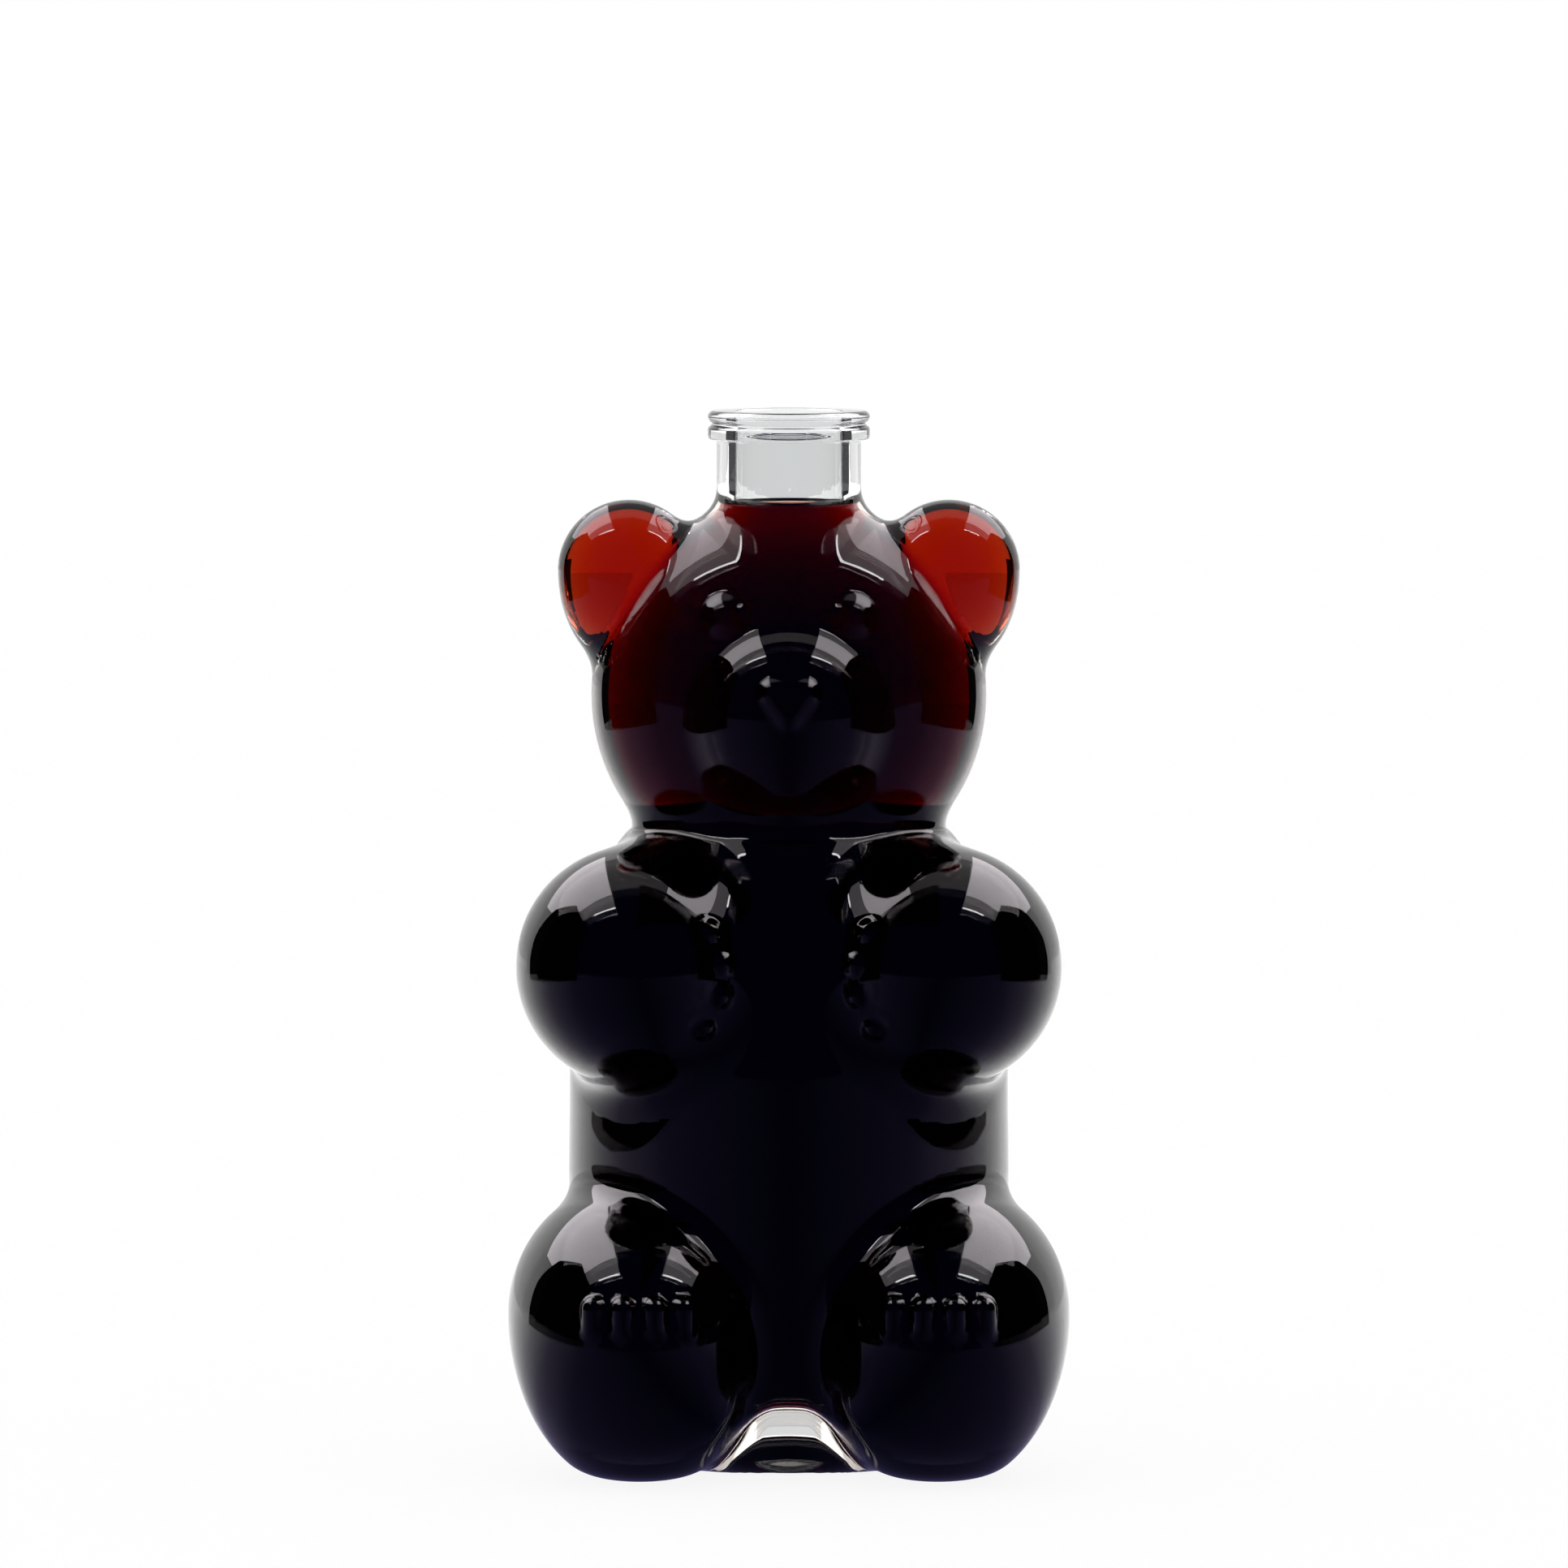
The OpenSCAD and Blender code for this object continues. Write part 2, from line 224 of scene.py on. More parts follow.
def gradient(field, points, reach=0.02):
    """The field's value at each point, and its slope there."""
    x, y, z = points.T
    slope = np.stack([
        field(x + reach, y, z) - field(x - reach, y, z),
        field(x, y + reach, z) - field(x, y - reach, z),
        field(x, y, z + reach) - field(x, y, z - reach),
    ], 1) / (2 * reach)
    return field(x, y, z), slope


def normals_of(field, points):
    slope = gradient(field, points)[1]
    return slope / np.linalg.norm(slope, axis=1)[:, None]


def out_from(centre, aim):
    """Point where a ray from centre leaves the plain skin, and the way the skin faces there."""
    ray = np.array(aim, float) / np.linalg.norm(aim)
    point = np.array(centre, float) + RAY_START * ray
    for _ in range(RAY_STEPS):
        point = point - plain_skin(*point) * ray
    return point, normals_of(plain_skin, point[None])[0]


def button(centre, aim, width, bulge):
    """Centre and radius of a ball that stands out of the skin as a round cap."""
    point, facing = out_from(centre, aim)
    radius = (width * width / 4 + bulge * bulge) / (2 * bulge)
    return point - (radius - bulge) * facing, radius


def eye_button():
    rise = EYE_Z - HEAD[2]
    front = HEAD_R[1] * math.sqrt(1 - (EYE_X**2 + rise**2) / HEAD_R[0] ** 2)
    return button(HEAD, (EYE_X, -front, rise), EYE_D, EYE_BULGE)


def claw_buttons():
    made = []
    for i in range(CLAW_COUNT):
        rise = CLAW_RISE + (i - (CLAW_COUNT - 1) / 2) * CLAW_PITCH
        side = math.sqrt(CLAW_REACH**2 - rise**2)
        made.append(button(ARM, (-side, -CLAW_FRONT, rise), CLAW_D, CLAW_BULGE))
    return made


def toe_centres():
    made = []
    for i in range(TOE_COUNT):
        across = (i - (TOE_COUNT - 1) / 2) * TOE_PITCH
        point, facing = out_from(LEG, (across, -LEG_R[1], TOE_Z - LEG[2]))
        made.append(point + (TOE_BULGE - TOE_W / 2) * facing)
    return made


def nose_corners():
    half_w = NOSE_W / 2 - NOSE_R
    half_h = NOSE_H / 2 - NOSE_R
    made = []
    for x, z in ((-half_w, half_h), (half_w, half_h), (0, -half_h)):
        point, facing = out_from(MUZZLE, (x, -MUZZLE_R[1], NOSE_Z - MUZZLE[2] + z))
        made.append(point + (NOSE_BULGE - NOSE_R) * facing)
    return np.array(made)


def to_segment(x, y, z, start, end):
    """Distance to a straight segment."""
    along = end - start
    px, py, pz = x - start[0], y - start[1], z - start[2]
    share = np.clip((px * along[0] + py * along[1] + pz * along[2]) / (along @ along), 0, 1)
    return length(px - share * along[0], py - share * along[1], pz - share * along[2])


def to_triangle(x, y, z, corners):
    """Distance to a flat triangle."""
    normal = np.cross(corners[1] - corners[0], corners[2] - corners[0])
    normal = normal / np.linalg.norm(normal)
    height = (x - corners[0][0]) * normal[0]
    height = height + (y - corners[0][1]) * normal[1] + (z - corners[0][2]) * normal[2]
    over = np.ones(np.shape(height), bool)
    edge = np.full(np.shape(height), np.inf)
    for a, b in ((0, 1), (1, 2), (2, 0)):
        side = np.cross(normal, corners[b] - corners[a])
        inward = (x - corners[a][0]) * side[0] + (y - corners[a][1]) * side[1]
        over &= inward + (z - corners[a][2]) * side[2] > 0
        edge = np.minimum(edge, to_segment(x, y, z, corners[a], corners[b]))
    return np.where(over, np.abs(height), edge)


EYE = eye_button()
CLAWS = claw_buttons()
TOES = toe_centres()
NOSE = nose_corners()


def details(x, y, z):
    """Eyes, nose, toes and claws."""
    x_side = np.abs(x)
    near = ball(x_side, y, z, *EYE)
    near = np.minimum(near, to_triangle(x, y, z, NOSE) - NOSE_R)
    half = np.array((0, 0, (TOE_H - TOE_W) / 2))
    for toe in TOES:
        near = np.minimum(near, to_segment(x_side, y, z, toe - half, toe + half) - TOE_W / 2)
    for claw in CLAWS:
        near = np.minimum(near, ball(x_side, y, z, *claw))
    return near


def outer_skin(x, y, z):
    full = blend(plain_skin(x, y, z), details(x, y, z), DETAIL_FILLET)
    return keep(full, -lobe(x, y, z, PUNT, PUNT_R), DETAIL_FILLET)


def sample(field, axes, step):
    """The field on a grid, exact near its surface and only roughly right far from it."""
    skip = 4
    coarse = [axis[:: skip] for axis in axes]
    rough = field(*np.meshgrid(*coarse, indexing="ij"))
    fine = [np.minimum((np.arange(len(axis)) + skip // 2) // skip, len(c) - 1)
            for axis, c in zip(axes, coarse)]
    values = rough[np.ix_(*fine)]
    near = np.nonzero(np.abs(values) < 2 * skip * step)
    values[near] = field(*(axis[i] for axis, i in zip(axes, near)))
    return values


def settle(field, points, rounds=1):
    """Moves points straight onto the surface."""
    for _ in range(rounds):
        value, slope = gradient(field, points)
        steep = np.maximum((slope * slope).sum(1), LEAST_SLOPE)
        points = points - (value / steep)[:, None] * slope
    return points


def net(field, span, top, step):
    """Quads that follow the surface field = 0 up to the height top, where they end in a ring.

    One vertex lies in each grid cell that the surface crosses, and one quad across each
    grid edge that it cuts. Returns the points, the quads and the ring's points in order.
    """
    half_x, front, back, low = span
    count = math.ceil(half_x / step)
    axes = [
        np.arange(-count, count + 1) * step,
        np.arange(front, back + step, step),
        top - step / 2 - step * np.arange(math.ceil((top - low) / step))[::-1],
    ]
    values = sample(field, axes, step)
    shape = np.array(values.shape)
    stride = np.array((shape[1] * shape[2], shape[2], 1))
    quads, spots = [], []
    for axis in range(3):
        u, v = (axis + 1) % 3, (axis + 2) % 3
        here = np.take(values, range(shape[axis] - 1), axis)
        there = np.take(values, range(1, shape[axis]), axis)
        edge = np.argwhere((here < 0) != (there < 0))
        # no quad is made across the edges of the top layer, which leaves the ring open
        edge = edge[(edge[:, u] > 0) & (edge[:, v] > 0)]
        a, b = here[tuple(edge.T)], there[tuple(edge.T)]
        spot = edge.astype(float)
        spot[:, axis] += a / (a - b)
        turn = ((0, 0), (1, 0), (1, 1), (0, 1))
        corner = [edge @ stride - du * stride[u] - dv * stride[v] for du, dv in turn]
        quad = np.stack(corner, 1)
        quad[a > 0] = quad[a > 0][:, ::-1]
        quads.append(quad)
        spots.append(spot)
    quads, spots = np.concatenate(quads), np.concatenate(spots)
    cells, flat = np.unique(quads, return_inverse=True)
    quads = flat.reshape(quads.shape)
    weight = np.bincount(quads.ravel())
    points = np.stack([
        np.bincount(quads.ravel(), np.repeat(spots[:, k], 4)) / weight for k in range(3)
    ], 1)
    points = points * step + np.array([axis[0] for axis in axes])
    ring = np.nonzero(cells % shape[2] == shape[2] - 1)[0]
    points = relax(field, points, quads, ring, top)
    ring = ring[np.argsort(np.arctan2(points[ring, 1], points[ring, 0]))]
    return points, quads, ring


def relax(field, points, quads, ring, top, rounds=8):
    """Evens out the net on its surface, with the ring held at its height."""
    start = quads.ravel()
    end = np.roll(quads, -1, 1).ravel()
    ends = np.concatenate((start, end))
    others = np.concatenate((end, start))
    weight = np.bincount(ends)
    for _ in range(rounds):
        mean = np.stack([np.bincount(ends, points[others, k]) / weight for k in range(3)], 1)
        mean[ring, 2] = top
        points = settle(field, (points + mean) / 2)
        points[ring, 2] = top
    return settle(field, points, rounds=2)


def arc(centre, radius, start, end, count):
    """Points on an arc as (r, z), with angles in degrees from the outward direction."""
    turns = np.radians(np.linspace(start, end, count))
    return [(centre[0] + radius * math.cos(t), centre[1] + radius * math.sin(t)) for t in turns]


def run(start, end, pitch=0.5):
    """Points along a straight line of the profile, without its ends."""
    count = max(int(math.dist(start, end) / pitch), 2)
    shares = np.linspace(0, 1, count + 1)[1:-1]
    return [(start[0] + s * (end[0] - start[0]), start[1] + s * (end[1] - start[1]))
            for s in shares]


def finish_profile():
    """The neck and the rim's two beads, up the outside and down the bore."""
    top_r = TOP_BEAD_H / 2
    groove_r = RIM_R - GROOVE
    groove_z = TOTAL_H - TOP_BEAD_H - GROOVE_DROP
    points = [(NECK_R, OUTER_TOP + OUTER_SEAM)]
    root = arc((NECK_R + BEAD_CORNER, NECK_TOP - BEAD_CORNER), BEAD_CORNER, 180, 90, 5)
    points += run(points[-1], root[0]) + root
    low_edge = arc((RIM_R - BEAD_CORNER, NECK_TOP + BEAD_CORNER), BEAD_CORNER, -90, 0, 6)
    points += run(points[-1], low_edge[0]) + low_edge
    shoulder = arc((RIM_R - LOW_BEAD_R, groove_z - LOW_BEAD_DROP), LOW_BEAD_R, 0, 62, 9)
    points += run(points[-1], shoulder[0]) + shoulder
    points += [(groove_r, groove_z - GROOVE_H), (groove_r - GROOVE_SLANT, groove_z)]
    points += arc((RIM_R - top_r, TOTAL_H - top_r), top_r, -64, 90, 22)
    lip = arc((BORE_R + LIP_ROUND, TOTAL_H - LIP_ROUND), LIP_ROUND, 90, 180, 10)
    points += run(points[-1], lip[0]) + lip
    bore_end = (BORE_R, CAVITY_TOP + BORE_SEAM)
    return points + run(points[-1], bore_end) + [bore_end]


def lathe(profile, first):
    """Points and quads of a profile turned about the neck, numbered from first."""
    turns = np.linspace(-math.pi, math.pi, COLUMNS, endpoint=False)
    rings = [np.stack((r * np.cos(turns), r * np.sin(turns), np.full(COLUMNS, z)), 1)
             for r, z in profile]
    column = np.arange(COLUMNS)
    after = (column + 1) % COLUMNS
    quads = []
    for k in range(len(profile) - 1):
        low, high = first + k * COLUMNS, first + (k + 1) * COLUMNS
        quads.append(np.stack((low + column, low + after, high + after, high + column), 1))
    return np.concatenate(rings), np.concatenate(quads)


def zip_rings(points, low, high):
    """Triangles between two rings of points, each in order of its angle."""
    def angles(ring):
        found = np.arctan2(points[ring, 1], points[ring, 0])
        return np.append(found, found[0] + 2 * math.pi)

    a, b = angles(low), angles(high)
    i = j = 0
    made = []
    while i < len(low) or j < len(high):
        here, there = low[i % len(low)], high[j % len(high)]
        if j == len(high) or (i < len(low) and a[i + 1] <= b[j + 1]):
            i += 1
            made.append((here, low[i % len(low)], there))
        else:
            j += 1
            made.append((here, high[j % len(high)], there))
    return made


def make_piece(name, points, faces, normals, slot, node, *materials):
    """Mesh in metres at the frame's place, which stands for a CAD node.

    Blender works out the normals that are given as zero.
    """
    mesh = bpy.data.meshes.new(name)
    placed = (points + np.array((0, CENTRE_Y, 0))) * MM
    mesh.from_pydata(placed.tolist(), [], faces)
    mesh.shade_smooth()
    mesh.normals_split_custom_set_from_vertices(normals.tolist())
    for material in materials:
        mesh.materials.append(material)
    piece = bpy.data.objects.new(name, mesh)
    bpy.context.collection.objects.link(piece)
    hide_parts(node)
    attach(piece, "root")
    return piece


def make_glass(dry, wet):
    """The bottle's whole skin: outside, neck and rim, bore and cavity, closed."""
    outer, outer_quads, outer_ring = net(outer_skin, OUTER_SPAN, OUTER_TOP, OUTER_STEP)
    inner, inner_quads, inner_ring = net(cavity, INNER_SPAN, CAVITY_TOP, INNER_STEP)
    turned, turned_quads = lathe(finish_profile(), len(outer))
    shift = len(outer) + len(turned)
    points = np.concatenate((outer, turned, inner))
    first = list(range(len(outer), len(outer) + COLUMNS))
    last = list(range(shift - COLUMNS, shift))
    faces = [tuple(q) for q in outer_quads.tolist()]
    faces += [tuple(q) for q in turned_quads.tolist()]
    faces += [tuple(q[::-1]) for q in (inner_quads + shift).tolist()]
    faces += zip_rings(points, outer_ring.tolist(), first)
    faces += zip_rings(points, last, (inner_ring + shift).tolist())
    normals = np.concatenate((
        normals_of(outer_skin, outer), np.zeros_like(turned), -normals_of(cavity, inner)))
    piece = make_piece(
        "bottle_glass", points, faces, normals, "glass", "glass_bottle", dry, wet)
    number = np.arange(len(faces))
    inner_first = len(outer_quads) + len(turned_quads)
    inside = (number >= inner_first) & (number < inner_first + len(inner_quads))
    height = np.array([points[face[0], 2] for face in faces])
    wetted = inside & (height < FILL_Z + MENISCUS_RISE)
    piece.data.polygons.foreach_set("material_index", wetted.astype(np.int32))
    return piece


def make_drink(material):
    """The drink up to its level, with its edge drawn up where it wets the glass."""
    top = FILL_Z + MENISCUS_RISE
    skin, quads, ring = net(drink, INNER_SPAN, top, INNER_STEP)
    rim = skin[ring]
    radius = length(rim[:, 0], rim[:, 1])
    gaps = np.concatenate((
        np.linspace(0, MENISCUS_W, 13)[1:], np.linspace(MENISCUS_W, LEVEL_W, 8)[1:]))
    rings = [rim]
    for gap in gaps:
        share = np.maximum(radius - gap, LEVEL_HUB_R) / radius
        height = FILL_Z + MENISCUS_RISE * math.exp(-gap / MENISCUS_REACH)
        rings.append(np.stack((rim[:, 0] * share, rim[:, 1] * share,
                               np.full(len(rim), height)), 1))
    count = len(ring)
    points = np.concatenate([skin, *rings[1:], [(0, 0, FILL_Z)]])
    rows = [ring] + [len(skin) + k * count + np.arange(count) for k in range(len(gaps))]
    faces = [tuple(q) for q in quads.tolist()]
    for low, high in zip(rows, rows[1:]):
        cells = np.stack((low, np.roll(low, -1), np.roll(high, -1), high), 1)
        faces += [tuple(q) for q in cells.tolist()]
    hub = len(points) - 1
    faces += [(a, b, hub) for a, b in zip(rows[-1].tolist(), np.roll(rows[-1], -1).tolist())]
    normals = np.zeros_like(points)
    normals[:len(skin)] = normals_of(drink, skin)
    normals[ring] = 0
    return make_piece("drink", points, faces, normals, "liquid", "liquid_fill", material)


# Materials
RIPPLE_SIZE = 18 * MM
RIPPLE_DEPTH = 0.04 * MM
WET_TINT = 0.1  # drink and wetted glass mirror next to nothing where they meet


def new_material(name):
    """A material with its node tree, and the tree's Principled shader."""
    material = bpy.data.materials.new(name)
    material.use_nodes = True
    return material, material.node_tree, material.node_tree.nodes["Principled BSDF"]


def add_ripple(tree, shader):
    """Faint waves of a moulded surface."""
    place = tree.nodes.new("ShaderNodeTexCoord")
    noise = tree.nodes.new("ShaderNodeTexNoise")
    bump = tree.nodes.new("ShaderNodeBump")
    noise.inputs["Scale"].default_value = 1 / RIPPLE_SIZE
    noise.inputs["Detail"].default_value = 1.5
    bump.inputs["Distance"].default_value = RIPPLE_DEPTH
    tree.links.new(place.outputs["Object"], noise.inputs["Vector"])
    tree.links.new(noise.outputs["Fac"], bump.inputs["Height"])
    tree.links.new(bump.outputs["Normal"], shader.inputs["Normal"])


def glass_material(name, tint=1):
    """Clear glass, whose face mirrors the share tint of what plain glass does."""
    material, tree, shader = new_material(name)
    shader.inputs["Specular Tint"].default_value = (tint, tint, tint, 1)
    shader.inputs["Base Color"].default_value = (0.97, 0.985, 0.98, 1)
    shader.inputs["Roughness"].default_value = 0
    shader.inputs["IOR"].default_value = 1.5
    shader.inputs["Transmission Weight"].default_value = 1
    add_ripple(tree, shader)
    return material


def drink_material():
    material, tree, shader = new_material("dark_drink")
    shader.inputs["Base Color"].default_value = (1, 1, 1, 1)
    shader.inputs["Roughness"].default_value = 0
    shader.inputs["IOR"].default_value = 1.34
    shader.inputs["Specular Tint"].default_value = (WET_TINT, WET_TINT, WET_TINT, 1)
    shader.inputs["Transmission Weight"].default_value = 1
    absorb = tree.nodes.new("ShaderNodeVolumeAbsorption")
    absorb.inputs["Color"].default_value = (0.85, 0.34, 0.04, 1)
    absorb.inputs["Density"].default_value = 1250
    output = tree.nodes["Material Output"]
    tree.links.new(absorb.outputs["Volume"], output.inputs["Volume"])
    return material


# Studio, in metres about the bottle
FLOOR_HALF = 3
FLOOR_Z = -0.1 * MM
TABLE_Z = -0.05 * MM
FLOOR_WHITE = 0.92
FLOOR_GLOW = 0.9  # this share of the floor shines as white as the background, the rest keeps the shadow
WORLD_LIGHT = 1.05
SKY_THROUGH = 0.76  # the backdrop is less bright seen through the glass
ROOM_FRONT = 0.93
ROOM_SIZE = 1.6
CEILING = 0.95
CEILING_FRONT = 1
HIGH_CEILING_FRONT = 0.1
HIGH_CEILING_BACK = 0.8
CARD_GAP = 0.01  # between cards that lie over each other
LAMP_IN = 0.32  # the two overhead lamps leave a dark gap between them
LAMP_OUT = 1.5
LAMP_FRONT = 0.42
LAMP_SPLIT = 0.16  # the part in front of this is dim
LAMP_BACK = 1.2
EDGE_OUT = 0.7
EDGE_W = 0.03
MAIN_LAMP = ((1, 0.94, 0.99), 4.2)  # colour and strength
FRONT_LAMP = ((1, 0.93, 1), 1)
EDGE_LAMP = ((1, 1, 1), 15)
FLAG_X = 0.53
FLAG = ((-0.34, 0), (0.28, 0), (0.28, 0.21), (0.2, 0.42), (0, 0.6), (-0.34, 0.51))  # as y, z
DIVIDER = ((-0.034, 0.105), (-0.7, 0.75), (-0.7, CEILING), (-0.034, CEILING))  # as y, z
SHADE_FRONT = (0.72, 0.3)  # as x, y
SHADE_BACK = (0.5, 0.62)
SHADE_TOP = 0.5
BLACK = (0.004, 0.004, 0.005)
CHARCOAL = (0.03, 0.03, 0.035)
NAVY = (0.006, 0.008, 0.045)
GREY = (0.4, 0.38, 0.4)
# What the table shows at each angle round the bottle, from the front to the back
TABLE = ((0, (0.006, 0.008, 0.03)), (60, (0.05, 0.045, 0.11)), (90, (0.17, 0.15, 0.24)),
         (110, (0.45, 0.45, 0.50)), (140, (1, 1, 1)))
TABLE_STRENGTH = 1.5


def plane(name, corners, material):
    """Flat card of the studio, kept out of the object."""
    mesh = bpy.data.meshes.new(name)
    mesh.from_pydata(corners, [], [tuple(range(len(corners)))])
    mesh.materials.append(material)
    card = bpy.data.objects.new(name, mesh)
    bpy.context.collection.objects.link(card)
    return card


def glow(name, colour, strength=1, seen_by="Glossy Depth"):
    """Material of a card that only rays of one kind see, so that it hides nothing from the camera.

    Glossy Depth leaves it to rays that a surface has mirrored, Transmission Depth to those
    that have come through glass. Returns the material and its emission shader.
    """
    material = bpy.data.materials.new(name)
    material.use_nodes = True
    tree = material.node_tree
    tree.nodes.clear()
    path = tree.nodes.new("ShaderNodeLightPath")
    shown = tree.nodes.new("ShaderNodeMath")
    clear = tree.nodes.new("ShaderNodeBsdfTransparent")
    light = tree.nodes.new("ShaderNodeEmission")
    mix = tree.nodes.new("ShaderNodeMixShader")
    output = tree.nodes.new("ShaderNodeOutputMaterial")
    shown.operation = "GREATER_THAN"
    shown.inputs[1].default_value = 0.5
    light.inputs["Color"].default_value = (*colour, 1)
    light.inputs["Strength"].default_value = strength
    tree.links.new(path.outputs[seen_by], shown.inputs[0])
    tree.links.new(shown.outputs[0], mix.inputs["Fac"])
    tree.links.new(clear.outputs["BSDF"], mix.inputs[1])
    tree.links.new(light.outputs["Emission"], mix.inputs[2])
    tree.links.new(mix.outputs["Shader"], output.inputs["Surface"])
    return material, light


def table_glow():
    """The table as the glass mirrors it: dark in front, bright behind."""
    material, light = glow("table_mirrored", (1, 1, 1), TABLE_STRENGTH)
    tree = material.node_tree
    place = tree.nodes.new("ShaderNodeTexCoord")
    split = tree.nodes.new("ShaderNodeSeparateXYZ")
    across = tree.nodes.new("ShaderNodeMath")
    toward = tree.nodes.new("ShaderNodeMath")
    angle = tree.nodes.new("ShaderNodeMath")
    share = tree.nodes.new("ShaderNodeMath")
    ramp = tree.nodes.new("ShaderNodeValToRGB")
    across.operation = "ABSOLUTE"
    toward.operation = "MULTIPLY"
    toward.inputs[1].default_value = -1
    angle.operation = "ARCTAN2"
    share.operation = "DIVIDE"
    share.inputs[1].default_value = math.pi
    tree.links.new(place.outputs["Object"], split.inputs["Vector"])
    tree.links.new(split.outputs["X"], across.inputs[0])
    tree.links.new(split.outputs["Y"], toward.inputs[0])
    tree.links.new(across.outputs[0], angle.inputs[0])
    tree.links.new(toward.outputs[0], angle.inputs[1])
    tree.links.new(angle.outputs[0], share.inputs[0])
    tree.links.new(share.outputs[0], ramp.inputs["Fac"])
    tree.links.new(ramp.outputs["Color"], light.inputs["Color"])
    stops = ramp.color_ramp.elements
    while len(stops) < len(TABLE):
        stops.new(1)
    for stop, (degrees, colour) in zip(stops, TABLE):
        stop.position = degrees / 180
        stop.color = (*colour, 1)
    return material


def seen_rays(tree):
    """1 for camera, glossy and transmission rays, which see the background white."""
    path = tree.nodes.new("ShaderNodeLightPath")
    total = path.outputs["Is Camera Ray"]
    for name in ("Is Glossy Ray", "Is Transmission Ray"):
        higher = tree.nodes.new("ShaderNodeMath")
        higher.operation = "MAXIMUM"
        tree.links.new(total, higher.inputs[0])
        tree.links.new(path.outputs[name], higher.inputs[1])
        total = higher.outputs[0]
    return total


def floor_material():
    """White table that keeps a soft shadow."""
    material = bpy.data.materials.new("white_floor")
    material.use_nodes = True
    tree = material.node_tree
    tree.nodes.clear()
    matt = tree.nodes.new("ShaderNodeBsdfDiffuse")
    light = tree.nodes.new("ShaderNodeEmission")
    mix = tree.nodes.new("ShaderNodeMixShader")
    output = tree.nodes.new("ShaderNodeOutputMaterial")
    share = tree.nodes.new("ShaderNodeMath")
    share.operation = "MULTIPLY"
    share.inputs[1].default_value = FLOOR_GLOW
    matt.inputs["Color"].default_value = (FLOOR_WHITE, FLOOR_WHITE, FLOOR_WHITE, 1)
    light.inputs["Strength"].default_value = 1
    tree.links.new(seen_rays(tree), share.inputs[0])
    tree.links.new(share.outputs[0], mix.inputs["Fac"])
    tree.links.new(matt.outputs["BSDF"], mix.inputs[1])
    tree.links.new(light.outputs["Emission"], mix.inputs[2])
    tree.links.new(mix.outputs["Shader"], output.inputs["Surface"])
    return material


def make_world():
    world = bpy.data.worlds.new("studio")
    bpy.context.scene.world = world
    world.use_nodes = True
    tree = world.node_tree
    back = tree.nodes["Background"]
    path = tree.nodes.new("ShaderNodeLightPath")
    level = tree.nodes.new("ShaderNodeMapRange")
    through = tree.nodes.new("ShaderNodeMapRange")
    level.inputs["To Min"].default_value = WORLD_LIGHT
    level.inputs["To Max"].default_value = 1
    through.inputs["To Max"].default_value = SKY_THROUGH
    tree.links.new(seen_rays(tree), level.inputs["Value"])
    tree.links.new(path.outputs["Is Transmission Ray"], through.inputs["Value"])
    tree.links.new(level.outputs["Result"], through.inputs["To Min"])
    tree.links.new(through.outputs["Result"], back.inputs["Strength"])
    back.inputs["Color"].default_value = (1, 1, 1, 1)


def level_card(name, x, y, z, material):
    """Card from x[0] to x[1] and from y[0] to y[1] at height z."""
    return plane(
        name, [(x[0], y[0], z), (x[1], y[0], z), (x[1], y[1], z), (x[0], y[1], z)], material)


def wall_card(name, start, end, top, material):
    """Card that stands on the floor between two places given as x and y."""
    return plane(name, [(*start, 0), (*end, 0), (*end, top), (*start, top)], material)


def side_card(name, x, outline, material):
    """Card that faces sideways, with an outline given as y and z."""
    return plane(name, [(x, y, z) for y, z in outline], material)


def make_floor():
    whole = (-FLOOR_HALF, FLOOR_HALF)
    level_card("floor", whole, whole, FLOOR_Z, floor_material())
    level_card("table", whole, whole, TABLE_Z, table_glow())


def make_room():
    """The dark room in front, which the bear's face, chest and legs mirror."""
    navy = glow("dark_room", NAVY)[0]
    wide = (-ROOM_SIZE, ROOM_SIZE)
    gap = (-LAMP_IN, LAMP_IN)
    wall_card("room", (-ROOM_SIZE, -ROOM_FRONT), (ROOM_SIZE, -ROOM_FRONT), ROOM_SIZE, navy)
    level_card("dark_ceiling", gap, (-CEILING_FRONT, -HIGH_CEILING_FRONT), CEILING, navy)
    level_card("front_ceiling", wide, (-CEILING_FRONT, -LAMP_FRONT), CEILING + CARD_GAP, navy)
    level_card("high_ceiling", gap, (-HIGH_CEILING_FRONT, HIGH_CEILING_BACK), CEILING,
               glow("ceiling", GREY)[0])


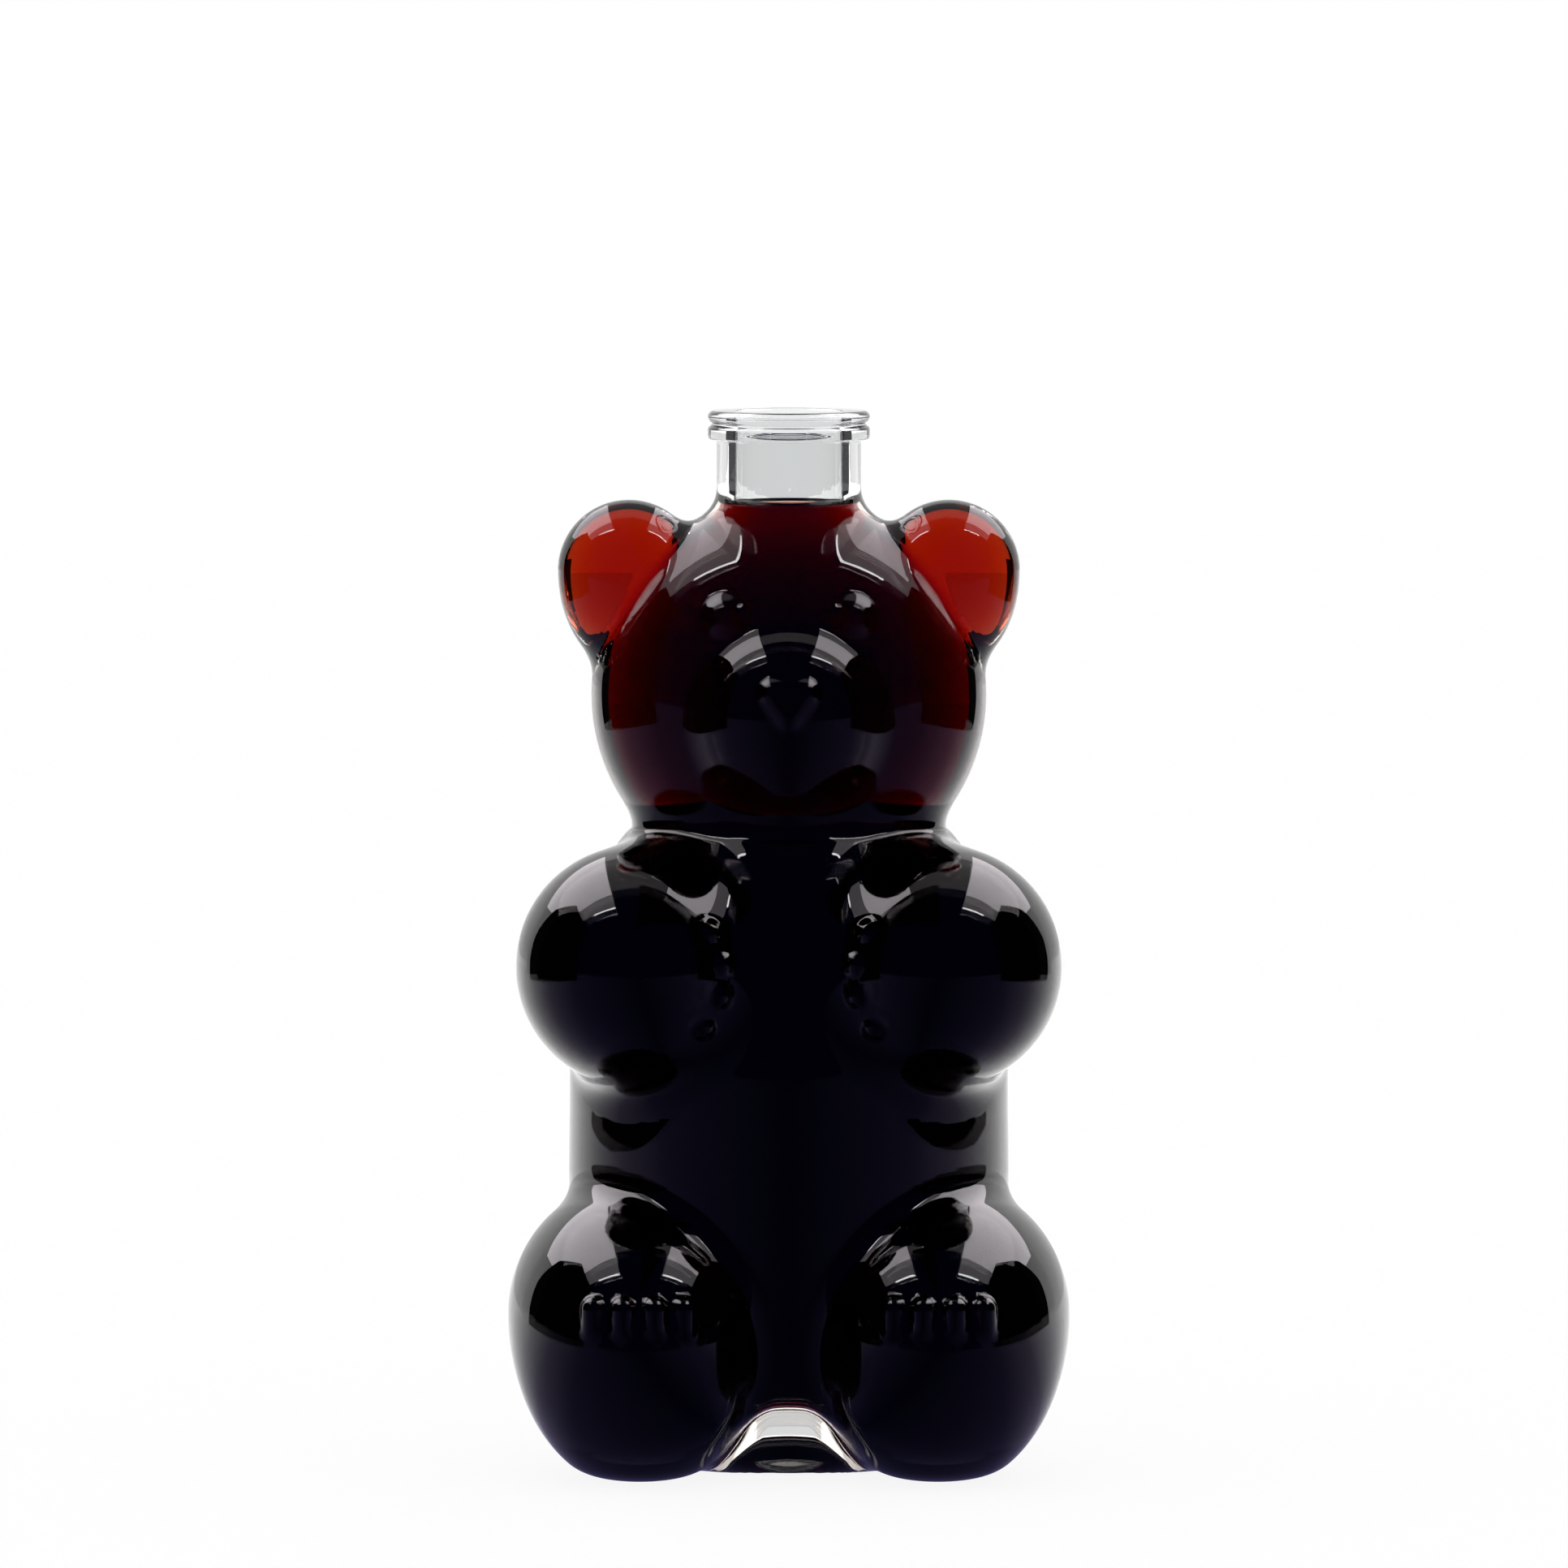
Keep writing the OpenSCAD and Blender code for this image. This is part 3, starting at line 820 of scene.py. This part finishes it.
def make_lamps():
    """Two overhead lamps, each with a dim front and a bright front edge."""
    main = glow("lamp", *MAIN_LAMP)[0]
    dim = glow("lamp_front", *FRONT_LAMP)[0]
    bright = glow("lamp_edge", *EDGE_LAMP)[0]
    for side in SIDES:
        across = (side * LAMP_IN, side * LAMP_OUT)
        level_card(f"lamp_{side}", across, (-LAMP_SPLIT, LAMP_BACK), CEILING, main)
        level_card(f"lamp_front_{side}", across, (-LAMP_FRONT, -LAMP_SPLIT), CEILING, dim)
        edge_back = -LAMP_FRONT + CARD_GAP
        level_card(f"lamp_edge_{side}", (side * LAMP_IN, side * EDGE_OUT),
                   (edge_back - EDGE_W, edge_back), CEILING - CARD_GAP, bright)


def make_flags():
    """Black cards beside the bottle and down the middle in front, and dark ones behind its neck."""
    black = glow("black_flag", BLACK)[0]
    shade = glow("back_shade", CHARCOAL, seen_by="Transmission Depth")[0]
    side_card("divider", 0, DIVIDER, black)
    for side in SIDES:
        side_card(f"flag_{side}", side * FLAG_X, FLAG, black)
        wall_card(f"shade_{side}", (side * SHADE_FRONT[0], SHADE_FRONT[1]),
                  (side * SHADE_BACK[0], SHADE_BACK[1]), SHADE_TOP, shade)


# Camera, placed as the photograph was taken, in mm about the neck axis
CAMERA_X = -0.84
CAMERA_FAR = 2000
CAMERA_Z = 271
AIM_Z = 118.9
PHOTO_SIDE = 1932
SCALE = 7.13  # photograph pixels in a millimetre at the neck axis
SENSOR = 36


def make_camera():
    data = bpy.data.cameras.new("camera")
    camera = bpy.data.objects.new("camera", data)
    bpy.context.collection.objects.link(camera)
    away = math.hypot(CAMERA_FAR, CAMERA_Z - AIM_Z)
    data.sensor_width = SENSOR
    data.lens = SENSOR * SCALE * away / PHOTO_SIDE
    data.clip_start = 0.1
    data.clip_end = 20
    camera.location = Vector((CAMERA_X, CENTRE_Y - CAMERA_FAR, CAMERA_Z)) * MM
    aim = Vector((CAMERA_X, CENTRE_Y, AIM_Z)) * MM
    camera.rotation_euler = (aim - camera.location).to_track_quat("-Z", "Y").to_euler()
    bpy.context.scene.camera = camera


make_camera()
make_world()
make_floor()
make_room()
make_lamps()
make_flags()
make_glass(glass_material("clear_glass"), glass_material("wetted_glass", WET_TINT))
make_drink(drink_material())

bpy.context.scene.view_settings.view_transform = "Standard"
